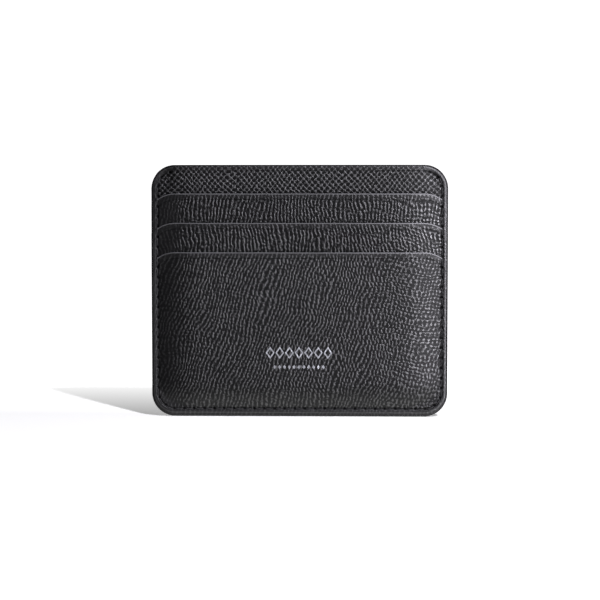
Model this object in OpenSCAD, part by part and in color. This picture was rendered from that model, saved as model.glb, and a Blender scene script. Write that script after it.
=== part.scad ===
// Card holder with three card pockets on each face and an open centre compartment.
// It stands upright: X is the width, Y the thickness with the front at -Y, Z the height.
// The origin is the middle of the bottom edge. All sizes are in millimetres.

/* [Body] */
// Width over the painted edges
body_w = 100; // [96:0.5:110]
// Height over the painted edges
body_h = 85; // [82:0.5:100]
// Radius of the four corners
corner_r = 8; // [6:0.5:12]

/* [Materials] */
// Thickness of the two large leather panels
panel_t = 0.8; // [0.6:0.05:1]
// Thickness of the leather of the pockets
pocket_t = 0.45; // [0.35:0.05:0.45]
// Thickness of the textile that lines the centre compartment
lining_t = 0.2; // [0.1:0.05:0.3]
// Thickness of the textile bags behind the upper two pockets
bag_t = 0.2; // [0.1:0.05:0.2]
// Thickness of the paint on the cut edges
paint_t = 0.3; // [0.2:0.05:0.5]

/* [Pockets] */
// Distance from the top edge down to the first pocket mouth
first_mouth = 9.6; // [8:0.1:14]
// Distance from one pocket mouth to the next
mouth_pitch = 9.85; // [8:0.05:11]
// Radius by which the ends of a mouth turn down
mouth_r = 11; // [10:0.5:14]
// Distance from the side edge at which a mouth begins to turn down
mouth_run = 8.3; // [6:0.1:9]
// How far the leather of a pocket reaches down behind the next one
tongue_h = 5; // [2:0.5:7]
// Depth of a pocket, for a card 54 mm high
pocket_depth = 53; // [52.5:0.1:54]
// Width of the textile bags, for a card 85.6 mm wide
bag_w = 88; // [86.5:0.5:88.5]

/* [Shape] */
// How far the large panels bulge out between the seams
panel_dome = 1.1; // [0.6:0.05:1.3]
// How much further each pocket bulges than what lies under it
pocket_step = 0.55; // [0.5:0.05:0.7]
// Width over which a panel falls towards a seam
roll_w = 10; // [8:0.5:11]

/* [Seams and creases] */
// Distance of the side seams from the side edges
side_seam = 2; // [1.8:0.1:2.4]
// Distance of the bottom seam from the bottom edge
bottom_seam = 2.6; // [2:0.1:2.8]
// Length of a stitch with the gap after it
stitch_pitch = 3.4; // [2.6:0.1:4.5]
// Diameter of the thread
thread_d = 0.45; // [0.3:0.05:0.5]
// Distance of the pressed crease lines from the edges above them
crease_in = 2.1; // [1.5:0.1:3]

/* [Ornament] */
// Width of the row of open lozenges
lozenge_row_w = 22.3; // [15:0.1:40]
// Height of the row of open lozenges
lozenge_h = 4.1; // [3:0.1:8]
// Height of the middle of that row above the bottom edge
lozenge_z = 22; // [18:0.5:34]

/* [Hidden] */
$fn = 96;
eps = 0.01;
far = 200;                                   // larger than any side of the body
high = 12;                                   // more than the faces rise above the seams
deep = 3;                                    // a margin below the level of the seams
margin = 1;                                  // any amount by which a cutting shape overlaps
glue_gap = 0.04;                             // between two layers that lie on each other
seam_w = 0.6;                                // width of the groove that the thread lies in
seam_depth = 0.25;                           // and its depth
seam_r = corner_r - side_seam;               // the seam's radius at the corners
seam_end = 3.5;                              // the side seams stop this far below the top
seam_margin = 1;                             // between the last stitch and the seam's end
seam_flat = 0.6;                             // the leather stays flat this far inside a seam
crease_w = 0.3;
crease_depth = 0.12;
mouth_gap = 0.1;                             // between a pocket's arm and the next mouth
roll_foot = side_seam + seam_flat;           // where the bulge begins, from the side edge
roll_foot_z = bottom_seam + seam_flat;       // and from the bottom edge
tongue_reach = 0.3;                          // the share of the roll that a tongue covers
tongue_w = 2 * (body_w / 2 - roll_foot - (1 - tongue_reach) * roll_w);
bag_overlap = 3;                             // of a bag behind its pocket's leather
card_room = 0.25;                            // between the bags and the top pocket

panel_level = lining_t;                      // inner face of the large panels at the seams
panel_out = panel_level + panel_t;           // and their outer face
pocket_level = panel_out + glue_gap;         // inner face of the pockets at the seams
pocket_out = pocket_level + pocket_t;
top_dome = panel_dome + bag_t + card_room;
middle_dome = top_dome + pocket_step;
bottom_dome = middle_dome + pocket_step;

top_mouth = body_h - first_mouth;
middle_mouth = top_mouth - mouth_pitch;
bottom_mouth = middle_mouth - mouth_pitch;
mouth_x = body_w / 2 - mouth_run;            // where a mouth begins to turn down
mouth_end = top_mouth - mouth_r + sqrt(mouth_r * mouth_r - mouth_run * mouth_run);
straight_top = body_h - corner_r;            // the top of the straight sides

foil_t = 0.06;
foil_stroke = 0.42;                          // width of the lines of the open lozenges
lozenges = 7;
lozenge_gaps = 0.7;                          // all gaps of the row, in widths of a lozenge
lozenge_w = lozenge_row_w / (lozenges + lozenge_gaps);
lozenge_pitch = (lozenge_row_w - lozenge_w) / (lozenges - 1);
hole_w = lozenge_w - 2.3 * foil_stroke;      // a slanting line is wider when measured level
hole_h = lozenge_h - 3.3 * foil_stroke;      // and wider still when measured upright
beads = 11;                                  // small solid lozenges in the lower row
bead_row_w = 0.776 * lozenge_row_w;
bead_h = 0.354 * lozenge_h;
bead_w = 0.625 * bead_row_w / beads;
bead_pitch = (bead_row_w - bead_w) / (beads - 1);
bead_z = lozenge_z - 1.17 * lozenge_h;       // height of the middle of the lower row

leather = [0.1, 0.1, 0.11];
textile = [0.16, 0.16, 0.17];
paint = [0.06, 0.06, 0.065];
thread = [0.2, 0.2, 0.21];
foil = [0.6, 0.61, 0.63];

// A half is drawn lying flat: x the width, y the height, z outwards from the middle plane.
module front() rotate([90, 0, 0]) children();
module rear() mirror([0, 1, 0]) rotate([90, 0, 0]) children();

// A rectangle with rounded corners, centred on x
module rounded(half_w, y0, y1, r) {
    translate([-half_w + r, y0]) square([2 * (half_w - r), y1 - y0]);
    translate([-half_w, y0 + r]) square([2 * half_w, y1 - y0 - 2 * r]);
    for (x = [-half_w + r, half_w - r], y = [y0 + r, y1 - r]) translate([x, y]) circle(r);
}

// The outline of the body, moved in by d
module outline(d) rounded(body_w / 2 - d, d, body_h - d, corner_r - d);

// Everything below the mouth line at height m, moved in by d
module below_mouth(m, d) rounded(mouth_x + mouth_r - d, -body_h / 2, m - d, mouth_r - d);

// Everything inside the seam line, moved in by d
module inside_seam(d)
    rounded(body_w / 2 - side_seam - d, bottom_seam + d, body_h - side_seam - d, seam_r - d);

// The bulge from one seam to the other, of height h above the level of the seams
module bulge(h) {
    r = (roll_w * roll_w + h * h) / (2 * h);
    x = body_w / 2 - roll_foot - roll_w;
    intersection() {
        union() {
            for (s = [-1, 1]) translate([s * x, h - r]) circle(r);
            translate([-x, -deep]) square([2 * x, h + deep]);
        }
        translate([-far, -deep]) square([2 * far, far]);
    }
}

// The same bulge up from the bottom seam
module bottom_bulge(h) {
    r = (roll_w * roll_w + h * h) / (2 * h);
    y = roll_foot_z + roll_w;
    intersection() {
        union() {
            translate([y, h - r]) circle(r);
            translate([y, -deep]) square([far, h + deep]);
        }
        translate([-far, -deep]) square([3 * far, far]);
    }
}

// All that lies under a surface which is at the level at the seams and bulges by h inside them
module under(level, h, depth) {
    translate([-far, -far, level - depth]) cube([2 * far, 2 * far, depth]);
    intersection() {
        translate([0, far, level]) rotate([90, 0, 0]) linear_extrude(2 * far) bulge(h);
        translate([-far, 0, level]) rotate([90, 0, 90]) linear_extrude(2 * far) bottom_bulge(h);
        translate([-far, -far, level - depth]) cube([2 * far, 2 * far, depth + h + margin]);
    }
}

// A layer of thickness t over that surface, cut to the flat shape of the children
module layer(level, h, t) intersection() {
    difference() {
        under(level + t, h, t + margin);
        under(level, h, 2 * margin);
    }
    translate([0, 0, -margin]) linear_extrude(high) children();
}

// A layer with the stitch groove and a crease cut into its face
module creased_layer(level, h, t) {
    difference() {
        layer(level, h, t) children(0);
        translate([0, 0, level + t - seam_depth]) linear_extrude(high) seam_line();
        difference() {
            linear_extrude(high) children(1);
            under(level + t - crease_depth, h, high);
        }
    }
}

module seam_line() difference() {
    inside_seam(-seam_w / 2);
    inside_seam(seam_w / 2);
    translate([-far, body_h - seam_end]) square(2 * far);
}

// One of the two upper pockets: the strip with its arms, and the tongue behind the next pocket
module strip_shape(m, next) {
    difference() {
        intersection() { outline(paint_t); below_mouth(m, paint_t); }
        below_mouth(next, -mouth_gap);
    }
    translate([-tongue_w / 2, next - tongue_h]) square([tongue_w, tongue_h + margin]);
}

module mouth_crease(m) intersection() {
    outline(paint_t - eps);
    difference() {
        below_mouth(m, crease_in - crease_w / 2);
        below_mouth(m, crease_in + crease_w / 2);
    }
}

module strip(m, next, dome) creased_layer(pocket_level, dome, pocket_t) {
    strip_shape(m, next);
    mouth_crease(m);
}

module mouth_paint(m, dome) color(paint) layer(pocket_level, dome, pocket_t) intersection() {
    outline(paint_t);
    difference() { below_mouth(m, 0); below_mouth(m, paint_t); }
}

module centre_lining() color(textile) layer(0, panel_dome, lining_t) outline(paint_t);

module panel() color(leather) creased_layer(panel_level, panel_dome, panel_t) {
    outline(paint_t);
    intersection() {
        difference() { outline(crease_in - crease_w / 2); outline(crease_in + crease_w / 2); }
        translate([-far, body_h - seam_end]) square(2 * far);
    }
}

module bag(lift, m, next) color(textile)
    layer(panel_out + lift, panel_dome, bag_t)
    translate([-bag_w / 2, m - pocket_depth])
        square([bag_w, next - tongue_h + bag_overlap - m + pocket_depth]);

module top_pocket_bag() bag(glue_gap, top_mouth, middle_mouth);
module middle_pocket_bag() bag(2 * glue_gap + bag_t, middle_mouth, bottom_mouth);
module top_pocket() color(leather) strip(top_mouth, middle_mouth, top_dome);
module middle_pocket() color(leather) strip(middle_mouth, bottom_mouth, middle_dome);

module bottom_pocket() color(leather) creased_layer(pocket_level, bottom_dome, pocket_t) {
    intersection() { outline(paint_t); below_mouth(bottom_mouth, paint_t); }
    mouth_crease(bottom_mouth);
}

module top_mouth_paint() mouth_paint(top_mouth, top_dome);
module middle_mouth_paint() mouth_paint(middle_mouth, middle_dome);
module bottom_mouth_paint() mouth_paint(bottom_mouth, bottom_dome);

// The paint on the top edge of a large panel and of its lining
module panel_edge_paint() color(paint) layer(0, panel_dome, panel_out) difference() {
    outline(0);
    outline(paint_t);
    translate([-far, straight_top - 2 * far]) square(2 * far);
}

// The path of the seam, from the middle of the bottom edge up one side
seam_x = body_w / 2 - side_seam - seam_r;
corner_l = seam_r * PI / 2;
side_l = body_h - corner_r - bottom_seam - seam_r;
top_a = asin((body_h - seam_end - straight_top) / seam_r);
seam_l = seam_x + corner_l + side_l + seam_r * PI * top_a / 180;
stitches = floor((seam_l - seam_margin) / stitch_pitch);
low_z = bottom_seam + seam_r;
function turn(s) =
    s < seam_x ? 0 :
    s < seam_x + corner_l ? (s - seam_x) / seam_r * 180 / PI :
    s < seam_x + corner_l + side_l ? 90 :
    90 + (s - seam_x - corner_l - side_l) / seam_r * 180 / PI;
function on_seam(s) =
    s < seam_x ? [s, bottom_seam] :
    s < seam_x + corner_l ?
        [seam_x + seam_r * sin(turn(s)), low_z - seam_r * cos(turn(s))] :
    s < seam_x + corner_l + side_l ?
        [seam_x + seam_r, low_z + s - seam_x - corner_l] :
    [seam_x + seam_r * cos(turn(s) - 90), straight_top + seam_r * sin(turn(s) - 90)];
stitch_l = 0.8 * stitch_pitch;               // the rest is the gap to the next one

module stitch(s, side) {
    p = on_seam(s);
    out = p[1] > mouth_end ? panel_out : pocket_out;
    translate([side * p[0], p[1], out - seam_depth + thread_d / 2])
        rotate([0, 0, side * turn(s)])
        rotate([0, 90, 0]) cylinder(d = thread_d, h = stitch_l, center = true);
}

module seam_thread() color(thread) {
    stitch(0, 1);
    for (side = [-1, 1], i = [1:stitches]) stitch(i * stitch_pitch, side);
}

module lozenge(w, h) polygon([[-w / 2, 0], [0, -h / 2], [w / 2, 0], [0, h / 2]]);

module foil_ornament() color(foil) translate([0, 0, pocket_out + bottom_dome])
    linear_extrude(foil_t) {
        for (i = [0:lozenges - 1])
            translate([(i - (lozenges - 1) / 2) * lozenge_pitch, lozenge_z]) difference() {
                lozenge(lozenge_w, lozenge_h);
                lozenge(hole_w, hole_h);
            }
        for (i = [0:beads - 1])
            translate([(i - (beads - 1) / 2) * bead_pitch, bead_z]) lozenge(bead_w, bead_h);
    }

// The paint that covers the edges of all layers together, down the sides and along the bottom
module side_and_bottom_edge_paint() color(paint) rotate([90, 0, 0]) {
    linear_extrude(2 * pocket_out, center = true) edge_band(mouth_end);
    linear_extrude(2 * panel_out, center = true) edge_band(straight_top);
}

module edge_band(top) difference() {
    outline(0);
    outline(paint_t);
    translate([-far, top]) square(2 * far);
}

front() centre_lining();  // front_centre_lining
front() panel();  // front_panel
front() top_pocket_bag();  // front_top_pocket_bag
front() middle_pocket_bag();  // front_middle_pocket_bag
front() top_pocket();  // front_top_pocket
front() middle_pocket();  // front_middle_pocket
front() bottom_pocket();  // front_bottom_pocket
front() panel_edge_paint();  // front_panel_edge_paint
front() top_mouth_paint();  // front_top_mouth_paint
front() middle_mouth_paint();  // front_middle_mouth_paint
front() bottom_mouth_paint();  // front_bottom_mouth_paint
front() seam_thread();  // front_seam_thread
front() foil_ornament();  // front_foil_ornament
rear() centre_lining();  // rear_centre_lining
rear() panel();  // rear_panel
rear() top_pocket_bag();  // rear_top_pocket_bag
rear() middle_pocket_bag();  // rear_middle_pocket_bag
rear() top_pocket();  // rear_top_pocket
rear() middle_pocket();  // rear_middle_pocket
rear() bottom_pocket();  // rear_bottom_pocket
rear() panel_edge_paint();  // rear_panel_edge_paint
rear() top_mouth_paint();  // rear_top_mouth_paint
rear() middle_mouth_paint();  // rear_middle_mouth_paint
rear() bottom_mouth_paint();  // rear_bottom_mouth_paint
rear() seam_thread();  // rear_seam_thread
side_and_bottom_edge_paint();
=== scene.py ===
import math

import bmesh
import bpy
import numpy as np
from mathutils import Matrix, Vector, noise


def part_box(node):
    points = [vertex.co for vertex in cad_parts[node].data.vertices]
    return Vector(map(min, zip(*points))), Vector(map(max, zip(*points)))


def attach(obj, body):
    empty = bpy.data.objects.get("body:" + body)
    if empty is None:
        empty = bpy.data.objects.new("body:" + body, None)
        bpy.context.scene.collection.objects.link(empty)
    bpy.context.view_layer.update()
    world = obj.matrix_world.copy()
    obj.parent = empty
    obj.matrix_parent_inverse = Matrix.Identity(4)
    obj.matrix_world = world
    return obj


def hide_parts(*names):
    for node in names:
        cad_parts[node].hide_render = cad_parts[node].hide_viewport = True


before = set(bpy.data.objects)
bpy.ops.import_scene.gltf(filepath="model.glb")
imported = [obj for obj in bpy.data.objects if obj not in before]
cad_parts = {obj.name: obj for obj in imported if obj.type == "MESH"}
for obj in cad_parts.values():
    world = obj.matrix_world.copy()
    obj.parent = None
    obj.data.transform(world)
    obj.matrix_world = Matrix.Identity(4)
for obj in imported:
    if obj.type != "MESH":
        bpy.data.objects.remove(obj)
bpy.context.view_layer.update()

MM = 0.001
SIDES = {"front": -1, "rear": 1}  # the direction along Y in which a half faces

# ---- Sizes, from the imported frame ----

# The side paint ends where the straight sides end and the top corners begin
half_w, _, straight_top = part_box("side_and_bottom_edge_paint")[1]
body_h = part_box("front_panel_edge_paint")[1][2]
corner_r = body_h - straight_top
mouths = {
    pocket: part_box(f"front_{pocket}_mouth_paint")[1][2]
    for pocket in ("top", "middle", "bottom")
}
POCKETS = list(mouths)
bag_floor = {
    pocket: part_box(f"front_{pocket}_pocket_bag")[0][2] for pocket in ("top", "middle")
}
bag_half_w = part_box("front_top_pocket_bag")[1][0]

# The layers, as distances out from the middle plane at the seams
LINING_T = 0.2 * MM
PANEL_T = 0.8 * MM
BAG_T = 0.2 * MM
POCKET_T = 0.45 * MM
GLUE = 0.04 * MM
AIR = 0.03 * MM  # between a strip and the pocket in front of it
panel_out = LINING_T + PANEL_T
pocket_in = panel_out + GLUE

# How far each layer bulges between the seams
PANEL_DOME = 1.1 * MM
POCKET_STEP = 0.55 * MM
CARD_ROOM = 0.25 * MM
DOME = {"top": PANEL_DOME + BAG_T + CARD_ROOM}
DOME["middle"] = DOME["top"] + POCKET_STEP
DOME["bottom"] = DOME["middle"] + POCKET_STEP
BELLY = 0.7 * MM  # the slow curve across the whole face
WAVE = 0.05 * MM  # how uneven the hand-made faces are
WAVES_PER_M = (45, 110)  # slow and quick
ROLL_SIDE = 15 * MM  # over which a face falls towards a side
ROLL_BOTTOM = 9 * MM
SEAM_FLAT = 0.6 * MM  # the leather stays flat this far inside a seam
HELD_R = 5 * MM  # round the end of the seam, which holds the open corners down

SIDE_SEAM = 2.0 * MM
BOTTOM_SEAM = 2.6 * MM
SEAM_END = 3.5 * MM  # below the top
seam_r = corner_r - SIDE_SEAM
SEAM_W = 0.38 * MM  # half the width of the groove that the thread lies in
SEAM_DEPTH = 0.3 * MM
SEAM_FADE = 4 * MM  # over which the seam's hold on the leather ends
STITCH_PITCH = 3.4 * MM
THREAD_R = 0.23 * MM

MOUTH_R = 11 * MM  # by which the ends of a mouth turn down
MOUTH_RUN = 8.3 * MM  # from the side edge, where they begin to
mouth_x = half_w - MOUTH_RUN
MOUTH_BAND = 3 * MM  # below a mouth, where the mesh is finer
TONGUE = 5 * MM  # how far a strip reaches down behind the next pocket
PARED = 0.85  # share of its thickness that is gone at its lower end
BAG_TOP = 2 * MM  # how far a bag ends below the next mouth
CREASE_IN = 2.1 * MM  # from the edge above the pressed line
CREASE_W = 0.2 * MM
CREASE_DEPTH = 0.09 * MM
MOUTH_ROUND, MOUTH_ROUND_W = 0.08 * MM, 0.7 * MM  # how far and how wide a mouth is rounded over
SLOPE = 0.4 * MM  # how far the leather slopes off between the seam and the edge
EDGE_ROUND, EDGE_ROUND_W = 0.3 * MM, 1.2 * MM
PAINT = 0.3 * MM
PAINT_TAIL = 0.4 * MM  # how far the paint runs onto the leather
PAINT_LAP = 0.045 * MM  # how far it stands over the leather's faces
LEATHER_INSET = 0.25 * MM  # of the leather's edge under the paint
RECESS = 0.22 * MM  # how deep a mouth presses into what lies behind it
RECESS_REACH = 1.3 * MM


# ---- Shape of the faces: every function takes arrays of x and z and gives arrays ----

def smooth(t):
    """Runs from 0 to 1 without a kink while t does."""
    t = np.clip(t, 0, 1)
    return t * t * (3 - 2 * t)


def beyond(distance, start, width):
    """0 up to start and 1 from a width further on."""
    return smooth((distance - start) / width)


def rounded_over(inset, fall, width):
    """How far a face falls towards its edge, from a width inside it."""
    return fall * np.clip(1 - inset / width, 0, 1) ** 2


def groove(distance, width, depth):
    """How deep a soft groove is at a distance from its middle."""
    return depth * np.exp(-((distance / width) ** 2))


def seam_distance(x, z):
    """Signed distance inside the line of the seam, which is open at the top."""
    x = np.abs(x)
    to_side = half_w - SIDE_SEAM - x
    to_bottom = z - BOTTOM_SEAM
    cx, low, high = half_w - corner_r, BOTTOM_SEAM + seam_r, straight_top
    inside = np.minimum(to_side, np.where(z > high, 1, to_bottom))
    in_low = (x > cx) & (z < low)
    in_high = (x > cx) & (z > high)
    inside = np.where(in_low, seam_r - np.hypot(x - cx, z - low), inside)
    return np.where(in_high, seam_r - np.hypot(x - cx, z - high), inside)


def edge_inset(x, z):
    """Distance inside the outline of the body."""
    x = np.abs(x)
    cx = half_w - corner_r
    inset = np.minimum(half_w - x, np.minimum(z, body_h - z))
    for cz, turning in ((corner_r, z < corner_r), (straight_top, z > straight_top)):
        inset = np.where((x > cx) & turning, corner_r - np.hypot(x - cx, z - cz), inset)
    return inset


seam_end_angle = math.asin((body_h - SEAM_END - straight_top) / seam_r)
seam_end = (
    half_w - corner_r + seam_r * math.cos(seam_end_angle),
    straight_top + seam_r * math.sin(seam_end_angle),
)


def seam_run(x, z):
    """Length along the seam from the middle of the bottom to the point nearest to x, z."""
    x = np.abs(x)
    cx, low = half_w - corner_r, BOTTOM_SEAM + seam_r
    quarter = seam_r * math.pi / 2
    run = np.where(z < low, x, cx + quarter + z - low)
    in_low = (x > cx) & (z < low)
    run = np.where(in_low, cx + seam_r * np.arctan2(x - cx, low - z), run)
    in_high = (x > cx) & (z > straight_top)
    high = cx + quarter + straight_top - low + seam_r * np.arctan2(z - straight_top, x - cx)
    return np.where(in_high, high, run)


def crease_distance(x, z, mouth):
    """Distance from the pressed line beside a mouth, or along the top of a panel."""
    if mouth is not None:
        return np.abs(mouth_depth(x, z, mouth) - CREASE_IN)
    above = np.clip(body_h - SEAM_END - z, 0, None)
    return np.abs(edge_inset(x, z) - CREASE_IN) + above


def grain_share(x, z, mouth):
    """How much of the grain is left: it is pressed flat outside the seam and beside an edge."""
    inside = beyond(seam_distance(x, z), -0.35 * MM, 0.7 * MM)
    if mouth is None:
        off_edge = beyond(edge_inset(x, z), 1.0 * MM, 1.8 * MM)
    else:
        off_edge = beyond(mouth_depth(x, z, mouth), 0.8 * MM, 1.6 * MM)
    share = (0.45 + 0.55 * inside) * (0.55 + 0.45 * off_edge)
    # Flatter grain on the left side is painted shade, where the lamps from the right leave it dark, and
    # the grain is also flatter towards the foot of the bottom pocket
    if mouth is None:
        return 0.88 * share
    if mouth != mouths["bottom"]:
        return 0.88 * share * (1 - 0.6 * beyond(-x, 36 * MM, 8 * MM))
    return share * (0.74 - 0.3 * beyond(-x, 38 * MM, 7 * MM) - 0.2 * beyond(-z, -11 * MM, 6 * MM))


def bulge(x, z):
    """0 at the seams and 1 well inside them."""
    qx = np.clip(1 - (half_w - SIDE_SEAM - SEAM_FLAT - np.abs(x)) / ROLL_SIDE, 0, 1)
    qz = np.clip(1 - (z - BOTTOM_SEAM - SEAM_FLAT) / ROLL_BOTTOM, 0, 1)
    held = smooth(np.hypot(np.abs(x) - seam_end[0], z - seam_end[1]) / HELD_R)
    held = np.where(z > straight_top - 3 * MM, held, 1)
    near_top = beyond(z, straight_top - 6 * MM, 6 * MM)
    return np.clip(1 - qx**2.5 - qz**2, 0, 1) * (1 + (held - 1) * near_top)


def unevenness(x, z):
    """How far the face strays from its even curve, about -1 to 1."""
    slow, quick = WAVES_PER_M
    flat = [
        noise.noise(Vector((a * slow, b * slow, 3.1)))
        + 0.5 * noise.noise(Vector((a * quick, 7.7, b * quick)))
        for a, b in zip(x.ravel(), z.ravel())
    ]
    return np.array(flat).reshape(x.shape)


def swell(x, z):
    """What all layers of a half share: the slow curve and the unevenness."""
    return bulge(x, z) * (BELLY * (1 - (x / half_w) ** 2) + WAVE * unevenness(x, z))


def mouth_depth(x, z, mouth):
    """Distance below the mouth line, negative above it."""
    x = np.abs(x)
    turned = MOUTH_R - np.hypot(x - mouth_x, np.maximum(z - mouth + MOUTH_R, 0))
    return np.where(x > mouth_x, turned, mouth - z)


def mouth_drop(x):
    """How far the mouth line lies below its middle at x."""
    past = np.clip(np.abs(x) - mouth_x, 0, MOUTH_R)
    return MOUTH_R - np.sqrt(MOUTH_R**2 - past**2)


def strip_thickness(depth):
    """The leather of a strip, which is pared down behind the pocket in front of it."""
    return POCKET_T * np.clip(1 - depth / TONGUE * PARED, 1 - PARED, 1)


def next_pocket(pocket):
    """The pocket in front of this one, if there is one."""
    return dict(zip(POCKETS, POCKETS[1:])).get(pocket)


def pocket_inner(pocket, x, z):
    """The hidden face of a pocket, lifted by the strip that ends behind its mouth."""
    lift = 0
    if pocket != "top":
        depth = mouth_depth(x, z, mouths[pocket])
        under = strip_thickness(np.clip(depth, 0, None)) + AIR - POCKET_STEP * bulge(x, z)
        lift = np.clip(under, 0, None) * (1 - beyond(depth, 0.5 * TONGUE, 0.9 * TONGUE))
    return pocket_in + lift + DOME[pocket] * bulge(x, z) + swell(x, z)


def pocket_thickness(pocket, x, z):
    if not next_pocket(pocket):
        return np.full_like(x, POCKET_T)
    depth = mouth_depth(x, z, mouths[next_pocket(pocket)])
    return strip_thickness(np.clip(depth, 0, None))


def mouth_recess(pocket, x, z):
    """Leather is pressed in just above the mouth of the pocket in front of it."""
    above = -mouth_depth(x, z, mouths[pocket])
    return RECESS * bulge(x, z) * np.clip(1 - above / RECESS_REACH, 0, 1) ** 1.5


def seam_groove(x, z):
    sewn = z < body_h - SEAM_END + 0.4 * MM
    return groove(seam_distance(x, z), SEAM_W, SEAM_DEPTH) * sewn


def edge_fall(x, z):
    """The leather slopes off outside the seam and is rounded over at the edge paint."""
    inset = edge_inset(x, z)
    sewn = 1 - beyond(z, body_h - SEAM_END - SEAM_FADE, SEAM_FADE)
    slope = SLOPE * np.clip(1 - inset / SIDE_SEAM, 0, 1) * sewn
    return slope + rounded_over(inset, EDGE_ROUND, EDGE_ROUND_W)


def mouth_crease(x, z, mouth):
    """The pressed line below a mouth, and the mouth's own rounding."""
    depth = mouth_depth(x, z, mouth)
    crease = groove(depth - CREASE_IN, CREASE_W, CREASE_DEPTH) * (seam_distance(x, z) > 0)
    return crease + rounded_over(depth, MOUTH_ROUND, MOUTH_ROUND_W)


def pocket_outer(pocket, x, z):
    thickness = pocket_thickness(pocket, x, z)
    plain = pocket_inner(pocket, x, z) + thickness
    if next_pocket(pocket):
        plain -= np.minimum(mouth_recess(next_pocket(pocket), x, z), 0.7 * thickness)
    return plain - seam_groove(x, z) - edge_fall(x, z) - mouth_crease(x, z, mouths[pocket])


def panel_face(level, x, z):
    return level + PANEL_DOME * bulge(x, z) + swell(x, z)


def panel_outer(x, z):
    inset = edge_inset(x, z)
    crease = groove(inset - CREASE_IN, CREASE_W, CREASE_DEPTH)
    crease *= z > body_h - SEAM_END - 0.5 * MM
    recess = mouth_recess("top", x, z)
    return panel_face(panel_out, x, z) - seam_groove(x, z) - edge_fall(x, z) - crease - recess


def top_face(x, z):
    """The outermost leather at each point, without its grooves."""
    found = panel_face(panel_out, x, z)
    for pocket in POCKETS:
        outer = pocket_inner(pocket, x, z) + pocket_thickness(pocket, x, z)
        found = np.where(mouth_depth(x, z, mouths[pocket]) >= 0, outer, found)
    return found


# ---- Meshes ----

def spaced(start, stop, step):
    """Values from start to stop, about a step apart."""
    return np.linspace(start, stop, max(2, round(abs(stop - start) / step) + 1))


def joined(*runs):
    """Runs of values, each of which starts where the one before it ends."""
    return np.concatenate([runs[0]] + [run[1:] for run in runs[1:]])


# Distances from the outline to the rows of points along it, closest together round the seam
rim = joined(
    spaced(LEATHER_INSET, 1.4 * MM, 0.28 * MM),
    spaced(1.4 * MM, 3.4 * MM, 0.13 * MM),
    spaced(3.4 * MM, corner_r, 0.6 * MM),
)


class Sheet:
    """A flat pattern of faces in x and z, made of patches that share their borders."""

    def __init__(self):
        self.points, self.faces, self.known = [], [], {}

    def point(self, x, z):
        key = (round(x * 1e7), round(z * 1e7))
        if key not in self.known:
            self.known[key] = len(self.points)
            self.points.append((x, z))
        return self.known[key]

    def patch(self, xs, zs):
        """Faces between points given as two 2-D arrays of the same shape."""
        index = [[self.point(x, z) for x, z in zip(*row)] for row in zip(xs, zs)]
        for low, high in zip(index, index[1:]):
            for i in range(len(low) - 1):
                corners = [low[i], low[i + 1], high[i + 1], high[i]]
                face = [v for k, v in enumerate(corners) if v != corners[k - 1]]
                if len(face) > 2:
                    self.faces.append(face)

    def grid(self, xs, zs):
        self.patch(*np.meshgrid(xs, zs))

    def fan(self, cz, up):
        """The two corners at height cz, curving up or down."""
        angle, inset = np.meshgrid(np.linspace(0, math.pi / 2, 25), rim)
        radius = corner_r - inset
        x = half_w - corner_r + radius * np.cos(angle)
        z = cz + up * radius * np.sin(angle)
        self.patch(x, z)
        self.patch(-x, z)

    def arrays(self):
        points = np.array(self.points)
        return points[:, 0], points[:, 1]


SHARP_ANGLE = 0.9  # edges that turn by more than this look sharp


def new_object(name, points, faces):
    mesh = bpy.data.meshes.new(name)
    mesh.from_pydata([tuple(p) for p in points], [], faces)
    piece = bpy.data.objects.new(name, mesh)
    bpy.context.collection.objects.link(piece)
    for polygon in mesh.polygons:
        polygon.use_smooth = True
    mesh.set_sharp_from_angle(angle=SHARP_ANGLE)
    return piece


def shell(name, sheet, inner, outer, side, fields=None):
    """Both faces of a sheet and the walls round its border."""
    x, z = sheet.arrays()
    count = len(x)
    points = np.concatenate(
        [np.stack([x, side * outer, z], 1), np.stack([x, side * inner, z], 1)]
    )
    edges = {(a, b): True for face in sheet.faces for a, b in zip(face, face[1:] + face[:1])}
    walls = [[b, a, a + count, b + count] for a, b in edges if (b, a) not in edges]
    faces = sheet.faces + [[v + count for v in face[::-1]] for face in sheet.faces] + walls
    # The flat pattern runs counter-clockwise as seen from the front
    if side > 0:
        faces = [face[::-1] for face in faces]
    piece = new_object(name, points, faces)
    for key, values in (fields or {}).items():
        layer = piece.data.attributes.new(key, "FLOAT", "POINT")
        layer.data.foreach_set("value", np.concatenate([values, values]))
    return piece


def leather_fields(x, z, mouth):
    """What the leather material needs to know of each point, with lengths in millimetres."""
    return {
        "seam_run": seam_run(x, z) / MM,
        "seam_off": seam_distance(x, z) / MM,
        "grain_share": grain_share(x, z, mouth),
        "crease_off": crease_distance(x, z, mouth) / MM,
    }


def oriented(sheet):
    """Turns every face of the flat pattern the same way round."""
    x, z = sheet.arrays()
    for i, face in enumerate(sheet.faces):
        fx, fz = x[face], z[face]
        area = np.sum(fx * np.roll(fz, -1) - np.roll(fx, -1) * fz)
        if area < 0:
            sheet.faces[i] = face[::-1]
    return sheet


def tube(rings):
    """The points and faces of a closed tube over rings of points."""
    rings = np.array(rings)
    n, m = rings.shape[:2]
    faces = [list(range(m))[::-1], list(range((n - 1) * m, n * m))]
    for i in range(n - 1):
        for k in range(m):
            a, b = i * m + k, i * m + (k + 1) % m
            faces.append([a, b, b + m, a + m])
    return rings.reshape(-1, 3), faces


def faces_out(piece):
    """Turns all faces of a closed piece outwards."""
    bm = bmesh.new()
    bm.from_mesh(piece.data)
    bmesh.ops.recalc_face_normals(bm, faces=bm.faces)
    bm.to_mesh(piece.data)
    bm.free()
    return piece


# ---- Materials ----

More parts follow.
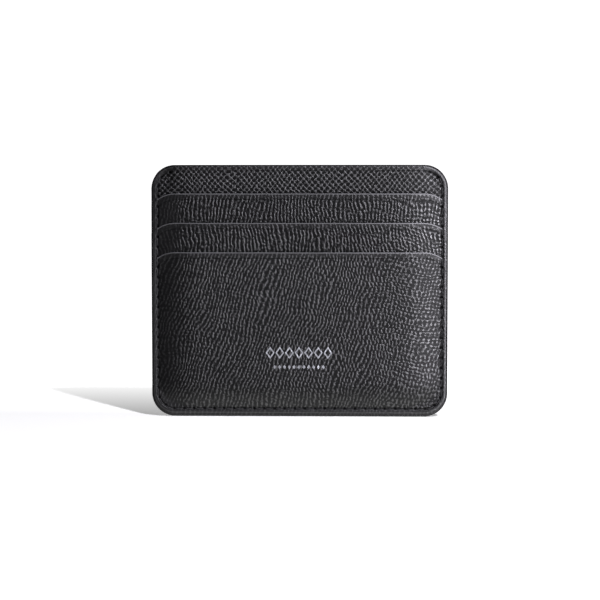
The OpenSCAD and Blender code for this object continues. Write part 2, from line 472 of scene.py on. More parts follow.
class Nodes:
    """A short way to write a node tree."""

    def __init__(self, name):
        self.material = bpy.data.materials.new(name)
        self.material.use_nodes = True
        self.tree = self.material.node_tree
        self.bsdf = self.tree.nodes["Principled BSDF"]

    def add(self, kind, inputs=None, **settings):
        made = self.tree.nodes.new("ShaderNode" + kind)
        for key, value in settings.items():
            setattr(made, key, value)
        for key, value in (inputs or {}).items():
            self.put(made.inputs[key], value)
        return made

    def put(self, socket, value):
        if isinstance(value, bpy.types.NodeSocket):
            self.tree.links.new(value, socket)
        else:
            socket.default_value = value

    def math(self, operation, a, b=0.0, c=0.0):
        return self.add("Math", {0: a, 1: b, 2: c}, operation=operation).outputs[0]

    def noise(self, vector, scale, detail=2.0, rough=0.5):
        made = self.add(
            "TexNoise",
            {"Vector": vector, "Scale": scale, "Detail": detail, "Roughness": rough},
        )
        return made.outputs["Fac"]

    def ramp(self, value, low, high, out_low=0.0, out_high=1.0, kind="SMOOTHSTEP"):
        made = self.add(
            "MapRange",
            {0: value, 1: low, 2: high, 3: out_low, 4: out_high},
            interpolation_type=kind,
        )
        return made.outputs[0]

    def vector(self, x, y, z=0.0):
        return self.add("CombineXYZ", {0: x, 1: y, 2: z}).outputs[0]

    def length(self, x, y):
        return self.add("VectorMath", {0: self.vector(x, y)}, operation="LENGTH").outputs["Value"]

    def attribute(self, key):
        return self.add("Attribute", attribute_name=key).outputs["Fac"]

    def place(self):
        """x and z of the surface point, and the point itself, in millimetres."""
        coordinates = self.add("TexCoord").outputs["Object"]
        scaled = self.add("VectorMath", {0: coordinates, 3: 1 / MM}, operation="SCALE")
        parts = self.add("SeparateXYZ", {0: scaled.outputs[0]})
        return parts.outputs[0], parts.outputs[2], scaled.outputs[0]

    def colour(self, value, dark, light):
        made = self.add("MixRGB", {0: value, 1: (*dark, 1), 2: (*light, 1)})
        return made.outputs[0]

    def finish(self, **sockets):
        for key, value in sockets.items():
            self.put(self.bsdf.inputs[key.replace("_", " ")], value)
        return self.material

    def bump(self, height, distance):
        return self.add("Bump", {"Height": height, "Distance": distance}).outputs[0]


def wave_set(n, x, z, angle, period, seed, strength=1.0, wander=1.0):
    """Wandering parallel ridges that lean by angle to the right of upright, from -1 to 1."""
    turn = math.radians(angle)
    place = n.vector(x, z, seed)
    slow = n.math("MULTIPLY_ADD", n.noise(place, 0.06, 1.0), 6.0 * wander, -3.0 * wander)
    quick = n.math("MULTIPLY_ADD", n.noise(place, 0.42, 1.5), 1.3 * wander, -0.65 * wander)
    run = n.math("MULTIPLY_ADD", z, -math.sin(turn), n.math("MULTIPLY", x, math.cos(turn)))
    run = n.math("ADD", run, n.math("ADD", slow, quick))
    wave = n.math("SINE", n.math("MULTIPLY", run, 2 * math.pi / period))
    return n.math("MULTIPLY", wave, strength)


def patchy(n, x, z, scale, seed, low, high):
    """A strength between low and high that changes slowly over the leather."""
    return n.ramp(n.noise(n.vector(x, z, seed), scale, 1.0), 0.38, 0.62, low, high)


def ridges(n, x, z, leans, seed):
    """Upright ridges that fork and merge, and are cut into dots near the right side."""
    dots = n.ramp(x, 20.0, 38.0, 0.0, 0.8)
    dots = n.math("MULTIPLY", dots, patchy(n, x, z, 0.15, seed + 12, 0.45, 1.0))
    to_right = n.ramp(x, -12.0, 14.0, 0.6, 1.0)
    second = n.math("MULTIPLY", to_right, patchy(n, x, z, 0.13, seed + 9, 0.35, 1.0))
    sets = [
        wave_set(n, x, z, leans[0], 1.26, seed),
        wave_set(n, x, z, leans[1], 1.2, seed + 3, second),
        wave_set(n, x, z, -77, 1.26, seed + 6, n.math("ADD", dots, 0.25), wander=1.4),
    ]
    total = sets[0]
    for more in sets[1:]:
        total = n.math("ADD", total, more)
    return total


def lattice(n, x, z, seed):
    """Small diamonds between two sets of slanting ridges."""
    one = wave_set(n, x, z, 42, 1.38, seed, wander=0.6)
    other = wave_set(n, x, z, -43, 1.4, seed + 3, wander=0.6)
    both = n.math("ADD", one, other)
    higher = n.math("MULTIPLY_ADD", n.math("MAXIMUM", one, other), 0.9, -0.35)
    return n.math("MULTIPLY_ADD", both, 0.5, higher)


def grain(n, x, z, pattern, leans, seed):
    """How far the leather is raised, from 0 to 1, and its fine pores."""
    waves = ridges(n, x, z, leans, seed) if pattern == "ridges" else lattice(n, x, z, seed)
    pores = n.noise(n.vector(n.math("MULTIPLY", x, 1.25), z, seed), 1.45, 2.0, 0.6)
    breaks = n.noise(n.vector(n.math("MULTIPLY", x, 1.2), z, seed + 1), 1.1, 1.0)
    broken = n.ramp(x, 18.0, 36.0, 2.2, 3.6)
    waves = n.math("MULTIPLY_ADD", n.math("SUBTRACT", breaks, 0.5), broken, waves)
    waves = n.math("MULTIPLY_ADD", n.math("SUBTRACT", pores, 0.5), 4.2, waves)
    return n.math("POWER", n.ramp(waves, -1.6, 1.9), 2.4), pores


LEVEL = 0.28  # the middle height of the grain


def leather(name, pattern, leans=None, seed=0.0, gain=1.0, right_sheen_gain=1.0, depth=0.14):
    """Black embossed leather, which shines by gain, and more by a further factor towards the right as
    painted sheen where the lamps fall from that side.
    """
    n = Nodes(name)
    x, z, _ = n.place()
    raised, pores = grain(n, x, z, pattern, leans, seed)
    share = n.attribute("grain_share")
    shown = n.math("MULTIPLY_ADD", n.math("SUBTRACT", raised, LEVEL), share, LEVEL)

    # The seam is pressed in, with a needle hole between each two stitches
    inside = n.attribute("seam_off")
    off = n.math("ABSOLUTE", inside)
    pitch = STITCH_PITCH / MM
    along = n.math("FRACT", n.math("DIVIDE", n.attribute("seam_run"), pitch))
    along = n.math("MULTIPLY", n.math("SUBTRACT", along, 0.5), pitch)
    across = n.math("SUBTRACT", inside, 0.25)
    apart = n.length(along, across)
    hole = n.ramp(apart, 0.62, 0.2)
    seam_shade = n.ramp(off, 0.75, 0.2)
    crease = n.ramp(n.attribute("crease_off"), 0.4, 0.1)
    # Outside the seam a line of leather shines more, partly as polish and partly as a painted highlight
    # along the rim; beside the edge on the sides the leather is darkened as painted shade
    polish_and_highlight = n.ramp(n.math("ABSOLUTE", n.math("ADD", inside, 1.2)), 0.34, 0.12)
    edge_shade = n.math("MULTIPLY", n.ramp(inside, -1.3, -1.55), n.ramp(z, 3.0, 9.0, 0.1, 1.0))

    blotch = n.noise(n.vector(x, z, seed + 5), 0.07, 3.0)
    tone = n.math("MULTIPLY", shown, n.math("MULTIPLY_ADD", blotch, 0.6, 0.6))
    colour = n.colour(tone, (0.0012, 0.0012, 0.0013), (0.0095, 0.0095, 0.01))
    rough = n.math("MULTIPLY_ADD", pores, 0.12, n.math("MULTIPLY_ADD", shown, -0.14, 0.48))
    # The shine rises towards the right side as painted sheen, where the lamps fall from that side
    wear_and_sheen = n.ramp(x, 15.0, 42.0, gain, gain * right_sheen_gain)
    shine = n.math("MULTIPLY_ADD", shown, wear_and_sheen, n.ramp(x, 18.0, 42.0, 0.06, 0.11))
    shine = n.math("MULTIPLY_ADD", polish_and_highlight, 0.45, shine)
    # Less shine in the seam groove, the needle holes, the creases and beside the edge: painted shade
    for pressed, loss in ((seam_shade, 0.45), (hole, 0.9), (crease, 0.4), (edge_shade, 0.85)):
        shine = n.math("MULTIPLY", shine, n.math("MULTIPLY_ADD", pressed, -loss, 1.0))
    height = n.math("MULTIPLY_ADD", hole, -1.2, n.math("MULTIPLY_ADD", pores, 0.2, shown))
    normal = n.bump(height, depth * MM)
    return n.finish(Base_Color=colour, Roughness=rough, Normal=normal, Specular_IOR_Level=shine)


def textile(name):
    """A fine twill: slanting ribs crossed by single yarns."""
    n = Nodes(name)
    x, z, _ = n.place()
    rib = n.math("SINE", n.math("MULTIPLY", n.math("ADD", x, z), 2 * math.pi / 0.42))
    yarn = n.math("MULTIPLY_ADD", z, -1.6, x)
    yarn = n.math("SINE", n.math("MULTIPLY", yarn, 2 * math.pi / 0.3))
    height = n.math("MULTIPLY_ADD", rib, 0.3, 0.5)
    height = n.math("MULTIPLY_ADD", n.math("MULTIPLY", rib, yarn), 0.25, height)
    fuzz = n.noise(n.vector(x, z), 3.0, 3.0)
    tone = n.math("MULTIPLY_ADD", fuzz, 0.4, n.math("MULTIPLY", height, 0.6))
    colour = n.colour(tone, (0.008, 0.008, 0.009), (0.035, 0.035, 0.038))
    return n.finish(
        Base_Color=colour, Roughness=n.math("MULTIPLY_ADD", fuzz, 0.15, 0.75),
        Normal=n.bump(height, 0.04 * MM), Sheen_Weight=0.25, Sheen_Roughness=0.4,
    )


def edge_paint(name, dark, light, gloss, wear_and_sheen=0.0):
    """Thick paint on a cut edge, made lighter towards the right side by a painted highlight where the
    lamps fall from that side.
    """
    n = Nodes(name)
    x, z, point = n.place()
    dabs = n.noise(point, 0.55, 3.0)
    pores = n.noise(point, 3.5, 2.0)
    tone = n.math("MULTIPLY_ADD", dabs, 1.0 - wear_and_sheen, n.ramp(x, 5.0, 42.0, 0.0, wear_and_sheen))
    colour = n.colour(tone, (dark, dark, dark * 1.03), (light, light, light * 1.03))
    rough = n.math("MULTIPLY_ADD", pores, 0.18, 0.32)
    height = n.math("MULTIPLY_ADD", pores, 0.3, dabs)
    return n.finish(
        Base_Color=colour, Roughness=rough, Normal=n.bump(height, 0.03 * MM), Specular_IOR_Level=gloss,
    )


def thread(name):
    """Waxed black thread with fine fibres."""
    n = Nodes(name)
    _, _, point = n.place()
    fibre = n.noise(point, 9.0, 3.0)
    colour = n.colour(fibre, (0.004, 0.004, 0.0043), (0.018, 0.018, 0.019))
    return n.finish(
        Base_Color=colour, Roughness=n.math("MULTIPLY_ADD", fibre, 0.2, 0.55),
        Normal=n.bump(fibre, 0.03 * MM), Specular_IOR_Level=0.4,
    )


def foil(name, leans, seed):
    """Grey foil pressed onto the grain of the leather under it."""
    n = Nodes(name)
    x, z, _ = n.place()
    raised, _ = grain(n, x, z, "ridges", leans, seed)
    wear_and_sheen = n.noise(n.vector(x, z, 2.0), 2.2, 3.0)
    tone = n.math("MULTIPLY_ADD", wear_and_sheen, 0.6, n.math("MULTIPLY", raised, 0.3))
    colour = n.colour(tone, (0.32, 0.33, 0.35), (0.55, 0.56, 0.59))
    rough = n.math("MULTIPLY_ADD", wear_and_sheen, 0.2, 0.32)
    normal = n.bump(raised, 0.05 * MM)
    return n.finish(Base_Color=colour, Roughness=rough, Metallic=0.7, Normal=normal)


# How strongly each leather shines, set per panel to even out their brightness under these lamps as
# painted sheen, how much more it shines on the right as painted sheen where the lamps fall from that
# side, its lean in degrees and its place in the noise
GAIN = {"panel": 1.13, "top": 1.1, "middle": 1.14, "bottom": 1.38}
RIGHT_SHEEN_GAIN = {"top": 1.5, "middle": 1.42, "bottom": 1.02}
LEANS = {"top": (8, -13), "middle": (-8, -25), "bottom": (19, -17)}
SEED = {"panel": 9.0, "top": 31.0, "middle": 57.0, "bottom": 4.0}
materials = {}
for half, shift in (("front", 0.0), ("rear", 200.0)):
    materials[half, "panel"] = leather(
        f"{half}_panel_grain", "lattice", seed=SEED["panel"] + shift, gain=GAIN["panel"],
    )
    for pocket in POCKETS:
        materials[half, pocket] = leather(
            f"{half}_{pocket}_grain", "ridges", LEANS[pocket], SEED[pocket] + shift,
            GAIN[pocket], RIGHT_SHEEN_GAIN[pocket],
        )
cloth = textile("lining_twill")
band_paint = edge_paint("edge_paint_black", 0.008, 0.018, 0.13)
# The mouths' paint is lighter than the side paint, partly its own colour and partly a painted highlight
# along the rounded mouths, and lighter towards the right as painted highlight
lip_paint = edge_paint("edge_paint_highlit", 0.05, 0.15, 0.5, wear_and_sheen=0.65)
twine = thread("thread_black")
stamp = foil("foil_grey", LEANS["bottom"], SEED["bottom"])


def declare(piece, material, slot, *nodes):
    """Gives a piece its material, hangs it from the root body and hides the CAD nodes that it stands
    for.
    """
    piece.data.materials.append(material)
    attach(piece, "root")
    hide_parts(*nodes)
    return piece


# ---- Leather panels and textile ----

COARSE = 1.0 * MM
columns = spaced(corner_r - half_w, half_w - corner_r, COARSE)


def mouth_rows(mouth):
    """Fine rows in the leather behind a mouth, which presses a line into it."""
    return spaced(mouth - 0.5 * MM, mouth + 1.5 * MM, 0.2 * MM)


def upper_rows(top):
    """Fine rows just below a pocket's own mouth, which ends under its paint."""
    return spaced(top - MOUTH_BAND, top - 0.2 * MM, 0.15 * MM)


TURN_REACH = 14 * MM  # below a mouth, over which the mesh follows its ends down


def body_sheet(top=None):
    """The outline from the bottom edge to the top of a pocket, or of the whole body."""
    sheet = Sheet()
    whole = top is None
    if whole:
        fine = mouth_rows(mouths["top"])
        rows = joined(spaced(corner_r, fine[0], COARSE), fine, [fine[-1], straight_top])
    else:
        rows = joined(spaced(corner_r, top - MOUTH_BAND, COARSE), upper_rows(top))
    sheet.grid(columns, rows)
    for sign in (1, -1):
        sheet.grid(sign * (half_w - rim), rows)
    sheet.grid(columns, rim)
    sheet.fan(corner_r, -1)
    if whole:
        sheet.grid(columns, body_h - rim)
        sheet.fan(straight_top, 1)
    else:
        turn_down(sheet, top)
    return oriented(sheet)


def turn_down(sheet, top):
    """Lowers the ends of the mouth, and less and less of what lies below them."""
    lowered = []
    for x, z in sheet.points:
        share = float(smooth((z - top + TURN_REACH) / TURN_REACH))
        lowered.append((x, z - float(mouth_drop(np.array(x))) * share))
    sheet.points = lowered


def strip_sheet(top, following):
    """A pocket's leather from behind the following mouth up to its own."""
    sheet = Sheet()
    fine, step = mouth_rows(following), 0.7 * MM
    rows = joined(
        spaced(following - TONGUE, fine[0], step),
        fine,
        spaced(fine[-1], top - MOUTH_BAND, step),
        upper_rows(top),
    )
    sheet.grid(columns, rows)
    for sign in (1, -1):
        sheet.grid(sign * (half_w - rim), rows)
    sheet.points = [(x, z - float(mouth_drop(np.array(x)))) for x, z in sheet.points]
    return oriented(sheet)


def bag_sheet(low, high):
    """A plain rectangle behind a pocket."""
    sheet = Sheet()
    sheet.grid(spaced(-bag_half_w, bag_half_w, COARSE), spaced(low, high, COARSE))
    return oriented(sheet)


def make_lining(half, side):
    x, z = whole_sheet.arrays()
    inner, outer = panel_face(0, x, z), panel_face(LINING_T, x, z)
    lining = shell(f"{half}_lining_cloth", whole_sheet, inner, outer, side)
    declare(lining, cloth, "black_textile", f"{half}_centre_lining")


def make_panel(half, side):
    x, z = whole_sheet.arrays()
    inner, outer = panel_face(LINING_T, x, z) + 0.01 * MM, panel_outer(x, z)
    fields = leather_fields(x, z, None)
    panel = shell(f"{half}_panel_leather", whole_sheet, inner, outer, side, fields)
    declare(panel, materials[half, "panel"], "black_leather", f"{half}_panel")


def make_pocket(half, side, pocket):
    following = next_pocket(pocket)
    if following:
        sheet = strip_sheet(mouths[pocket], mouths[following])
    else:
        sheet = body_sheet(mouths[pocket])
    x, z = sheet.arrays()
    inner, outer = pocket_inner(pocket, x, z), pocket_outer(pocket, x, z)
    fields = leather_fields(x, z, mouths[pocket])
    piece = shell(f"{half}_{pocket}_pocket_leather", sheet, inner, outer, side, fields)
    declare(piece, materials[half, pocket], "black_leather", f"{half}_{pocket}_pocket")


def make_bag(half, side, pocket):
    low, high = bag_floor[pocket], mouths[next_pocket(pocket)] - BAG_TOP
    sheet = bag_sheet(low, high)
    x, z = sheet.arrays()
    lift = GLUE if pocket == "top" else 2 * GLUE + BAG_T
    inner = panel_face(panel_out + lift, x, z)
    bag = shell(f"{half}_{pocket}_pocket_cloth", sheet, inner, inner + BAG_T, side)
    declare(bag, cloth, "black_textile", f"{half}_{pocket}_pocket_bag")


whole_sheet = body_sheet()
for half, side in SIDES.items():
    make_lining(half, side)
    make_panel(half, side)
    for pocket in POCKETS:
        make_pocket(half, side, pocket)
        if next_pocket(pocket):
            make_bag(half, side, pocket)


# ---- Painted edges ----

def lip_profile(thickness):
    """A rounded cap over a cut edge: pairs of distance outwards and distance across."""
    turn = np.linspace(-math.pi / 2, math.pi / 2, 11)
    across = (thickness / 2 + PAINT_LAP) * np.sin(turn)
    pairs = list(zip(PAINT * np.cos(turn) - PAINT, across))
    # The ends of the coat thin out inside the leather
    return [(-PAINT_TAIL, 0.6 * across[0])] + pairs + [(-PAINT_TAIL, 0.6 * across[-1])]


def arc(cx, cz, radius, angles):
    """Points x, z round a centre, each with its direction away from it."""
    return [
        (cx + radius * math.cos(angle), cz + radius * math.sin(angle), math.cos(angle), math.sin(angle))
        for angle in angles
    ]


def mirrored(points):
    """The same points on the left side, in reverse order."""
    return [(-x, z, -nx, nz) for x, z, nx, nz in points[::-1]]


def mouth_path(mouth):
    """Points of the mouth line and the direction out of the leather at each."""
    start = math.acos((MOUTH_RUN - SIDE_SEAM) / MOUTH_R)
    right = arc(mouth_x, mouth - MOUTH_R, MOUTH_R, np.linspace(start, math.pi / 2, 16))
    middle = [(x, mouth, 0, 1) for x in spaced(mouth_x, -mouth_x, COARSE)[1:-1]]
    return np.array(right + middle + mirrored(right))


def top_path():
    """The open top edge of a panel, from one seam end to the other."""
    cx = half_w - corner_r
    right = arc(cx, straight_top, corner_r, np.linspace(seam_end_angle * 0.8, math.pi / 2, 14))
    middle = [(x, body_h, 0, 1) for x in spaced(cx, -cx, COARSE)[1:-1]]
    return np.array(right + middle + mirrored(right))


def lip(name, path, middle, profile, side):
    """Paint along a path; middle gives the middle of the leather's thickness beside it."""
    rings = []
    for x, z, nx, nz in path:
        centre = float(middle(np.array([x - nx * 0.4 * MM]), np.array([z - nz * 0.4 * MM]))[0])
        rings.append([(x + nx * out, side * (centre + across), z + nz * out) for out, across in profile])
    return faces_out(new_object(name, *tube(rings)))


def make_mouth_lip(half, side, pocket):
    def middle(x, z):
        return pocket_inner(pocket, x, z) + POCKET_T / 2 - 0.02 * MM

    path, profile = mouth_path(mouths[pocket]), lip_profile(POCKET_T)
    piece = lip(f"{half}_{pocket}_mouth_lip", path, middle, profile, side)
    declare(piece, lip_paint, "black_edge_paint", f"{half}_{pocket}_mouth_paint")


def make_top_lip(half, side):
    def middle(x, z):
        return panel_face(panel_out / 2, x, z) - 0.03 * MM

    profile = lip_profile(panel_out - 0.06 * MM)
    piece = lip(f"{half}_top_edge_lip", top_path(), middle, profile, side)
    declare(piece, band_paint, "black_edge_paint", f"{half}_panel_edge_paint")


for half, side in SIDES.items():
    for pocket in POCKETS:
        make_mouth_lip(half, side, pocket)
    make_top_lip(half, side)


def band_path():
    """The outline from the seam's end on the right, under the bottom, to its end on the left."""
    cx = half_w - corner_r
    points = arc(cx, straight_top, corner_r, np.linspace(seam_end_angle, 0, 10))
    points += [(half_w, z, 1, 0) for z in spaced(straight_top, corner_r, 0.4 * MM)[1:-1]]
    points += arc(cx, corner_r, corner_r, np.linspace(0, -math.pi / 2, 24))
    points += [(x, 0, 0, -1) for x in spaced(cx, 0, COARSE)[1:]]
    return np.array(points + mirrored(points[:-1]))


BAND_LAP = 0.03 * MM  # how far the coat stands over the leather's faces
BAND_TAIL = 0.55 * MM  # how far its rims reach in under those faces
BAND_ROUND = 0.3 * MM  # how far it falls away at its rims
RIB, RIB_PITCH = 0.02 * MM, 0.8 * MM  # of the faint ribs that the layers leave in it


def band():
    """One coat over all layers: rounded at both rims, faintly ribbed where the layers meet."""
    path = band_path()
    x, z = path[:, 0] - path[:, 2] * PAINT, path[:, 1] - path[:, 3] * PAINT
    half_t = top_face(x, z) - edge_fall(x, z) + BAND_LAP
    share = np.linspace(-1, 1, 25)
    rings = []
    for (px, pz, nx, nz), reach in zip(path, half_t):
        ring = []
        for s in share:
            rib = RIB * math.cos(s * reach * 2 * math.pi / RIB_PITCH)
            out = rib - RIB - BAND_ROUND * abs(s) ** 5
            ring.append((px + nx * out, s * reach, pz + nz * out))
        for s in (1, -1):
            ring.append((px - nx * BAND_TAIL, s * (reach - BAND_LAP), pz - nz * BAND_TAIL))
        rings.append(ring)
    return faces_out(new_object("side_and_bottom_edge_band", *tube(rings)))


declare(band(), band_paint, "black_edge_paint", "side_and_bottom_edge_paint")


# ---- Stitches ----

# Lengths of the seam's parts, from the middle of the bottom to its end on the right
seam_x = half_w - SIDE_SEAM - seam_r
corner_l = seam_r * math.pi / 2
side_l = straight_top - BOTTOM_SEAM - seam_r
seam_l = seam_x + corner_l + side_l + seam_r * seam_end_angle

PLIES = 3  # of the twisted thread
PLY_R = 0.56 * THREAD_R
PLY_OFF = 0.5 * THREAD_R  # from the middle of the thread
TWIST = 1.15 * MM  # length of one turn
STITCH_SLANT = 0.09
STITCH_L = 0.84 * STITCH_PITCH
STITCH_TOP, STITCH_DIVE = 0.95, 3.4  # its height in the middle and its fall, in thread radii


def on_seam(s):
    """Point and direction at distance s from the middle of the bottom, up the right side."""
    low = BOTTOM_SEAM + seam_r
    if s < seam_x:
        return s, BOTTOM_SEAM, 0.0
    if s < seam_x + corner_l:
        turn = (s - seam_x) / seam_r
        return seam_x + seam_r * math.sin(turn), low - seam_r * math.cos(turn), turn
    s -= seam_x + corner_l
    if s < side_l:
        return seam_x + seam_r, low + s, math.pi / 2
    turn = (s - side_l) / seam_r
    return (seam_x + seam_r * math.cos(turn), straight_top + seam_r * math.sin(turn),
            math.pi / 2 + turn)


def stitch_rings(s, sign, side, strand):
    """One ply of a stitch: it rises out of one hole and dives into the next."""
    cx, cz, turn = on_seam(s)
    cx, turn = cx * sign, turn if sign > 0 else math.pi - turn
    slant = turn + STITCH_SLANT * side
    along = np.array([math.cos(slant), math.sin(slant)])
    beside = np.array([-along[1], along[0]])
    base = float((top_face(np.array([cx]), np.array([cz])))[0]) - SEAM_DEPTH
    rings = []
    for t in np.linspace(-0.5, 0.5, 15):
        rise = THREAD_R * (STITCH_TOP - STITCH_DIVE * (2 * abs(t)) ** 4)
        twist = 2 * math.pi * (t * STITCH_L / TWIST + strand / PLIES)
        centre = np.array([cx, cz]) + along * t * STITCH_L + beside * PLY_OFF * math.cos(twist)
        height = base + rise + PLY_OFF * math.sin(twist)
        ring = []
        for angle in 2 * math.pi * np.arange(7) / 7:
            flat = centre + beside * PLY_R * math.cos(angle)
            ring.append((flat[0], side * (height + PLY_R * math.sin(angle)), flat[1]))
        rings.append(ring)
    return rings


def stitches(half, side):
    """The whole seam of a half: one stitch in the middle of the bottom and pairs beside it."""
    points, faces = [], []
    count = int((seam_l - 1 * MM) / STITCH_PITCH)
    places = [(0.0, 1)]
    places += [(i * STITCH_PITCH, sign) for i in range(1, count + 1) for sign in (1, -1)]
    for s, sign in places:
        for strand in range(PLIES):
            more, its_faces = tube(stitch_rings(s, sign, side, strand))
            faces += [[v + len(points) for v in face] for face in its_faces]
            points += [tuple(p) for p in more]
    return faces_out(new_object(f"{half}_seam_stitches", points, faces))


for half, side in SIDES.items():
    declare(stitches(half, side), twine, "black_thread", f"{half}_seam_thread")


# ---- Foil ornament ----

TALL, SMALL = 0.541, 0.191  # heights of the two rows, as shares of the whole height
LOZENGES, GAPS = 7, 0.7  # in the upper row, with all gaps together in widths of a lozenge
BEADS, BEAD_SHARE = 11, 0.625  # in the lower row, and the share of the row that they fill
BEADS_W = 0.776  # length of the lower row, as a share of the upper one's
STROKE = 0.42 * MM
STEPS = 6  # along each side of a lozenge
FOIL_RISE, FOIL_SINK = 0.03 * MM, 0.05 * MM  # over and under the face of the leather


def lozenge(cx, cz, w, h, hollow):
    """Points and faces of a ring between two outlines, or of a solid lozenge."""
    tips = np.array([(w / 2, 0), (0, h / 2), (-w / 2, 0), (0, -h / 2)])
    sides = zip(tips, np.roll(tips, -1, 0))
    outer = np.array([a + (b - a) * t for a, b in sides for t in np.arange(STEPS) / STEPS])
    # A slanting stroke is wider when measured level or upright
    shrink = np.array([1 - 2.3 * STROKE / w, 1 - 3.3 * STROKE / h])
    inner = outer * shrink if hollow else np.zeros((1, 2))
    n = len(outer)
    faces = []
    for i in range(n):
        k = (i + 1) % n
        faces.append([i, k, n + k, n + i] if hollow else [i, k, n])
    return np.concatenate([outer, inner]) + (cx, cz), faces


def ornament():
    """A row of open lozenges over a row of small solid ones, pressed onto the leather."""
    low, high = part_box("front_foil_ornament")
    row_w, total_h = high[0] - low[0], high[2] - low[2]
    tall, small = TALL * total_h, SMALL * total_h
    wide = row_w / (LOZENGES + GAPS)
    beads_w = BEADS_W * row_w
    bead = BEAD_SHARE * beads_w / BEADS
    made = [
        lozenge(cx, high[2] - tall / 2, wide, tall, True)
        for cx in np.linspace(low[0] + wide / 2, low[0] + row_w - wide / 2, LOZENGES)
    ]
    made += [
        lozenge(cx, low[2] + small / 2, bead, small, False)
        for cx in np.linspace(-(beads_w - bead) / 2, (beads_w - bead) / 2, BEADS)
    ]
    sheet = Sheet()
    for points, faces in made:
        start = len(sheet.points)
        sheet.points += [tuple(point) for point in points]
        sheet.faces += [[start + v for v in face] for face in faces]
    face = pocket_outer("bottom", *sheet.arrays())
    sides = (face - FOIL_SINK, face + FOIL_RISE)
    return shell("front_foil_lozenges", oriented(sheet), *sides, SIDES["front"])


declare(ornament(), stamp, "grey_foil", "front_foil_ornament")


# ---- Floor, light and camera ----

NEAR_GLOW = 0.41  # of the floor in front of the holder, where the key light does the rest
FAR_GLOW = 1.0  # of the wall, where no lamp reaches


def stage_material(name, colour):
    """Plain white that glows more towards the back and the wall, where less lamp light falls."""
    n = Nodes(name)
    _, _, point = n.place()
    parts = n.add("SeparateXYZ", {0: point}).outputs
    specks = n.noise(point, 0.01, 2.0)
    shade = n.colour(specks, tuple(c * 0.995 for c in colour), colour)
    behind = n.ramp(parts[1], 5.0, 90.0, NEAR_GLOW, 0.95 * FAR_GLOW, "LINEAR")
    apart = n.length(parts[0], parts[1])
    glow = n.math("MAXIMUM", behind, n.ramp(apart, 250.0, 500.0, NEAR_GLOW, FAR_GLOW))
    return n.finish(Base_Color=shade, Roughness=0.9, Specular_IOR_Level=0.1,
                    Emission_Color=(1, 1, 1, 1), Emission_Strength=glow)


def round_stage():
    """A white floor that curves up into a round wall."""
    radius, rise, bend, around = 1.7, 1.5, 0.5, 48
    line = [(r, 0.0) for r in (0.15, 0.4, 0.8, radius - bend)]
    for angle in np.linspace(0, math.pi / 2, 12)[1:]:
        line.append((radius - bend + bend * math.sin(angle), bend - bend * math.cos(angle)))
    line.append((radius, rise))
    points, faces = [(0, 0, 0)], []
    for i in range(around):
        turn = 2 * math.pi * i / around
        points += [(r * math.cos(turn), r * math.sin(turn), z) for r, z in line]
    n = len(line)
    for i in range(around):
        here, there = 1 + i * n, 1 + (i + 1) % around * n
        faces.append([0, here, there])
        faces += [[here + k, here + k + 1, there + k + 1, there + k] for k in range(n - 1)]
    return new_object("floor", points, faces)


floor = round_stage()
floor.data.materials.append(stage_material("floor_white", (0.99, 1.0, 0.96)))
# The leather doesn't mirror the floor: the world below stands in for its light
floor.visible_diffuse = floor.visible_glossy = floor.visible_shadow = False


def lit(name, pieces):
    """A set of objects that a lamp may be limited to."""
    group = bpy.data.collections.new(name)
    for piece in pieces:
        group.objects.link(piece)
    return group


holder = [o for o in bpy.context.scene.objects if o.type == "MESH" and o is not floor]
whole_holder = lit("whole_holder", holder)
rear_half = lit("rear_half", [o for o in holder if o.name.startswith("rear")])
edge_band = lit("edge_band", [o for o in holder if o.name == "side_and_bottom_edge_band"])


LAMP_COLOUR = (0.99, 0.97, 1.06)  # a little cool
LAMP_AIM = Vector((0, 0, 0.04))


def area_light(name, azimuth, elevation, distance, size, power, receivers=None):
    """A softbox; azimuth is to the right of straight in front, in degrees."""
    a, e = math.radians(azimuth), math.radians(elevation)
    light = bpy.data.lights.new(name, "AREA")
    light.shape, (light.size, light.size_y) = "RECTANGLE", size
    light.energy, light.color = power, LAMP_COLOUR
    lamp = bpy.data.objects.new(name, light)
    towards = Vector((math.sin(a) * math.cos(e), -math.cos(a) * math.cos(e), math.sin(e)))
    lamp.location = LAMP_AIM + distance * towards
    lamp.rotation_euler = (-towards).to_track_quat("-Z", "Y").to_euler()
    bpy.context.collection.objects.link(lamp)
    if receivers:
        lamp.light_linking.receiver_collection = receivers


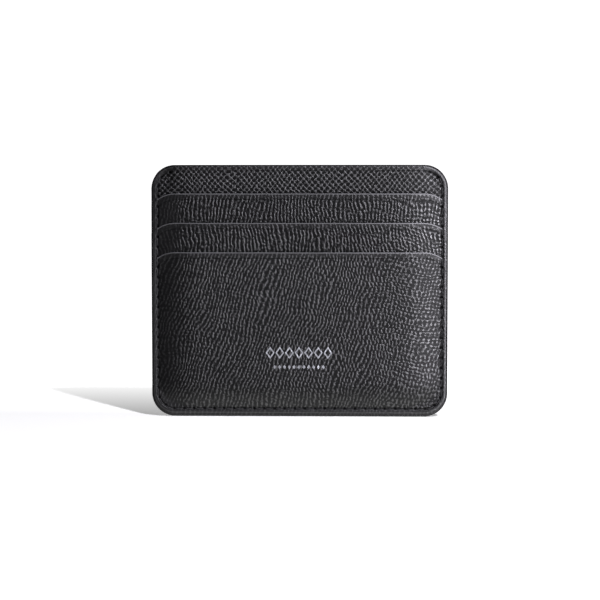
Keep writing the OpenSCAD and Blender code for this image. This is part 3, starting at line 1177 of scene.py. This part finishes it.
# The key casts the only shadow; the same pair of lamps lights the rear half from behind
area_light("key", 30, 42, 1.3, (0.06, 0.06), 16)
area_light("side_box", 42, 5, 0.7, (0.4, 0.5), 6.5, whole_holder)
area_light("rear_key", 210, 42, 1.3, (0.06, 0.06), 16, rear_half)
area_light("rear_side_box", 222, 5, 0.7, (0.4, 0.5), 6.5, rear_half)
area_light("left_fill", 262, 15, 0.8, (0.3, 0.3), 1.6, edge_band)

world = bpy.data.worlds.new("studio")
world.use_nodes = True
sky = world.node_tree
background = sky.nodes["Background"]
background.inputs["Color"].default_value = (1, 1, 1, 1)
split = sky.nodes.new("ShaderNodeSeparateXYZ")
sky.links.new(sky.nodes.new("ShaderNodeTexCoord").outputs["Generated"], split.inputs[0])


def sky_ramp(axis, low, high, out_low, out_high):
    """A brightness that runs along one axis of the direction."""
    made = sky.nodes.new("ShaderNodeMapRange")
    sky.links.new(split.outputs[axis], made.inputs[0])
    for index, value in enumerate((low, high, out_low, out_high), 1):
        made.inputs[index].default_value = value
    return made.outputs[0]


# Bright from below, as off a white floor, and dimmer from the left
strength = sky.nodes.new("ShaderNodeMath")
strength.operation = "MULTIPLY"
sky.links.new(sky_ramp("Z", -0.9, -0.22, 2.1, 0.004), strength.inputs[0])
sky.links.new(sky_ramp("X", -0.7, 0.25, 0.06, 1.0), strength.inputs[1])
sky.links.new(strength.outputs[0], background.inputs["Strength"])
bpy.context.scene.world = world
bpy.context.scene.view_settings.view_transform = "Standard"

LENS, SENSOR = 100, 36
PICTURE_SHARE = 0.49567  # of the picture's width that the holder fills
CAMERA_HEIGHT = 0.073
CAMERA_TURN = math.radians(1.5)  # to the right of straight in front
aim = Vector((0.25 * MM, -2 * MM, 0.0396))
camera_distance = 2 * half_w / PICTURE_SHARE * LENS / SENSOR
camera = bpy.data.objects.new("camera", bpy.data.cameras.new("camera"))
camera.data.lens, camera.data.sensor_width = LENS, SENSOR
away = camera_distance * Vector((math.sin(CAMERA_TURN), -math.cos(CAMERA_TURN), 0))
camera.location = aim + away + Vector((0, 0, CAMERA_HEIGHT - aim.z))
camera.rotation_euler = (aim - camera.location).to_track_quat("-Z", "Y").to_euler()
bpy.context.collection.objects.link(camera)
bpy.context.scene.camera = camera
